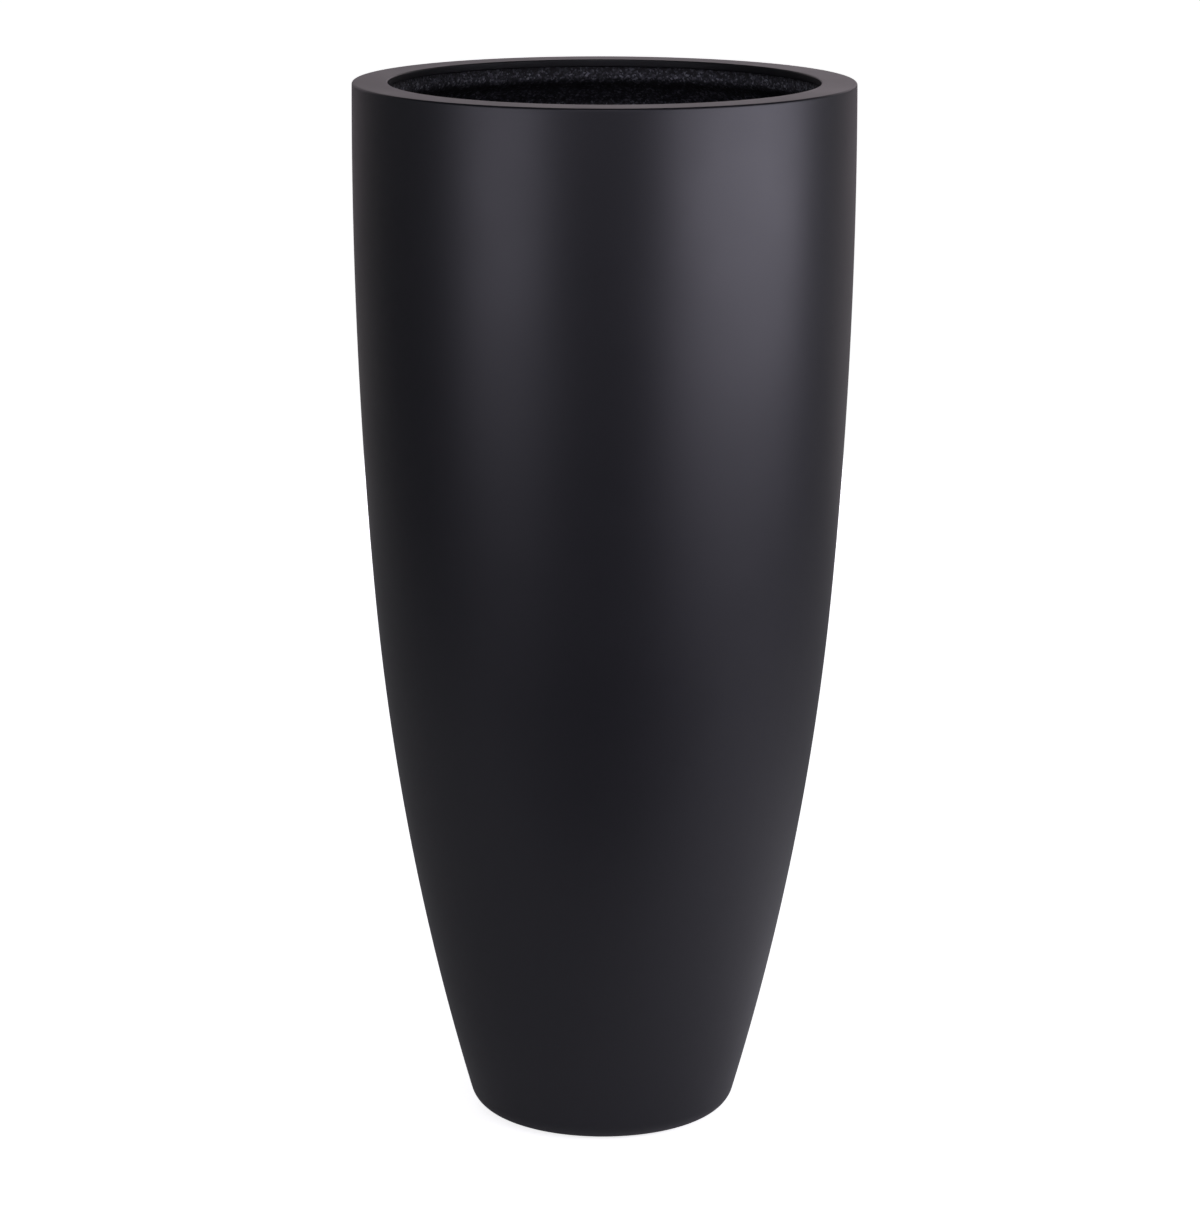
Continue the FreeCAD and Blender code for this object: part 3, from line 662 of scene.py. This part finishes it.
for name, sheen, corners, glow in (
    ("paper_far", "808080", lying(PAPER_FAR, ROOM, ROOM, FAR_PAPER_UP), (0.15, 0.4, "fff6fa", 3.0)),
    ("floor_cloth", "303030", lying(-ROOM, ROOM, ROOM, CLOTH_UP), None),
    ("ceiling_cloth", "303030", lying(-ROOM, ROOM, ROOM, CEILING), None),
    ("front_cloth", "787878", standing(FRONT_LEFT, FRONT_RIGHT, 0, CEILING), None),
    ("left_cloth", "a0a0a0", standing(FRONT_LEFT, BACK_LEFT, 0, CEILING), None),
    ("right_cloth", "d8d8d8", standing(FRONT_RIGHT, BACK_RIGHT, 0, CEILING), None),
    ("back_cloth_low", "ece0e6", standing(BACK_LEFT, BACK_RIGHT, 0, BACK_HEM), (0.05, 0.18, "fff2f6", 3.0)),
    ("back_cloth_high", "ece0e6", standing(BACK_LEFT, BACK_RIGHT, BACK_HEM, BACK_RISE), None),
    ("back_screen", "000000", standing(BACK_LEFT, BACK_RIGHT, BACK_RISE, CEILING),
     (0.7, 1.18, "f1e5ed", 1.0)),
):
    mirrored_card(name, corners, cloth_material(name, sheen, glow))

WORLD_FILL = 0.25
world = bpy.data.worlds.new("studio")
bpy.context.scene.world = world
world.use_nodes = True
tree = world.node_tree
tree.nodes.clear()
level = add_node(tree, "ShaderNodeMapRange", {"To Min": WORLD_FILL, "To Max": 1.0},
                 [("Value", white_rays(tree), "Value")])
sky = add_node(tree, "ShaderNodeBackground", {"Color": (1, 1, 1, 1)}, [("Strength", level, "Result")])
add_node(tree, "ShaderNodeOutputWorld", {}, [("Surface", sky, "Background")])

LAMP_TINT = "f1ecff"


def soft_box(name, azimuth, distance, width, low, high, radiance):
    """Upright rectangular light that faces the planter's axis. Azimuth is in degrees from the camera's side
    towards +X, and low and high are the heights of its edges."""
    light = bpy.data.lights.new(name, "AREA")
    light.shape = "RECTANGLE"
    light.size, light.size_y = width, high - low
    light.color = linear(LAMP_TINT)[:3]
    light.energy = radiance * math.pi * width * (high - low)
    box = bpy.data.objects.new(name, light)
    bpy.context.scene.collection.objects.link(box)
    turn = math.radians(azimuth)
    box.location = (distance * math.sin(turn), -distance * math.cos(turn), (low + high) / 2)
    box.rotation_euler = (QUARTER, 0, turn)
    box.visible_camera = False


soft_box("soft_box_right", 61, 1.8, 2.25, 0.41, 0.97, 5.8)
soft_box("soft_box_left", -43, 2.0, 1.3, 0.40, 1.02, 3.5)
soft_box("strip_behind", 180, 3.0, 0.6, 0.2, 0.88, 9.0)
soft_box("front_fill", 0, 3.6, 2.4, 1.5, 2.7, 2.3)

# ---------------------------------------------------------------- camera
# Long lens, 1.26 m up and 3.5 m away, looking a little down, as the photograph's outline gives them. The
# sensor's width is the picture's long side.
PICTURE_HEIGHT = 1205
FOCAL_PIXELS = 4175
SENSOR_MM = 36.0
CAMERA_AWAY = 3.502
CAMERA_UP = 1.2632
PITCH = math.radians(-13.043)
ROLL = math.radians(0.130)
AXIS_RIGHT_PIXELS = 3.35
lens = bpy.data.cameras.new("camera")
lens.sensor_width = SENSOR_MM
lens.lens = FOCAL_PIXELS * SENSOR_MM / PICTURE_HEIGHT
camera = bpy.data.objects.new("camera", lens)
bpy.context.scene.collection.objects.link(camera)
pan = math.atan(AXIS_RIGHT_PIXELS / FOCAL_PIXELS)
aim = Matrix.Rotation(pan, 4, "Z") @ Matrix.Rotation(QUARTER + PITCH, 4, "X") @ Matrix.Rotation(ROLL, 4, "Z")
camera.matrix_world = Matrix.Translation((0, -CAMERA_AWAY, CAMERA_UP)) @ aim
bpy.context.scene.camera = camera
bpy.context.scene.view_settings.view_transform = "Standard"
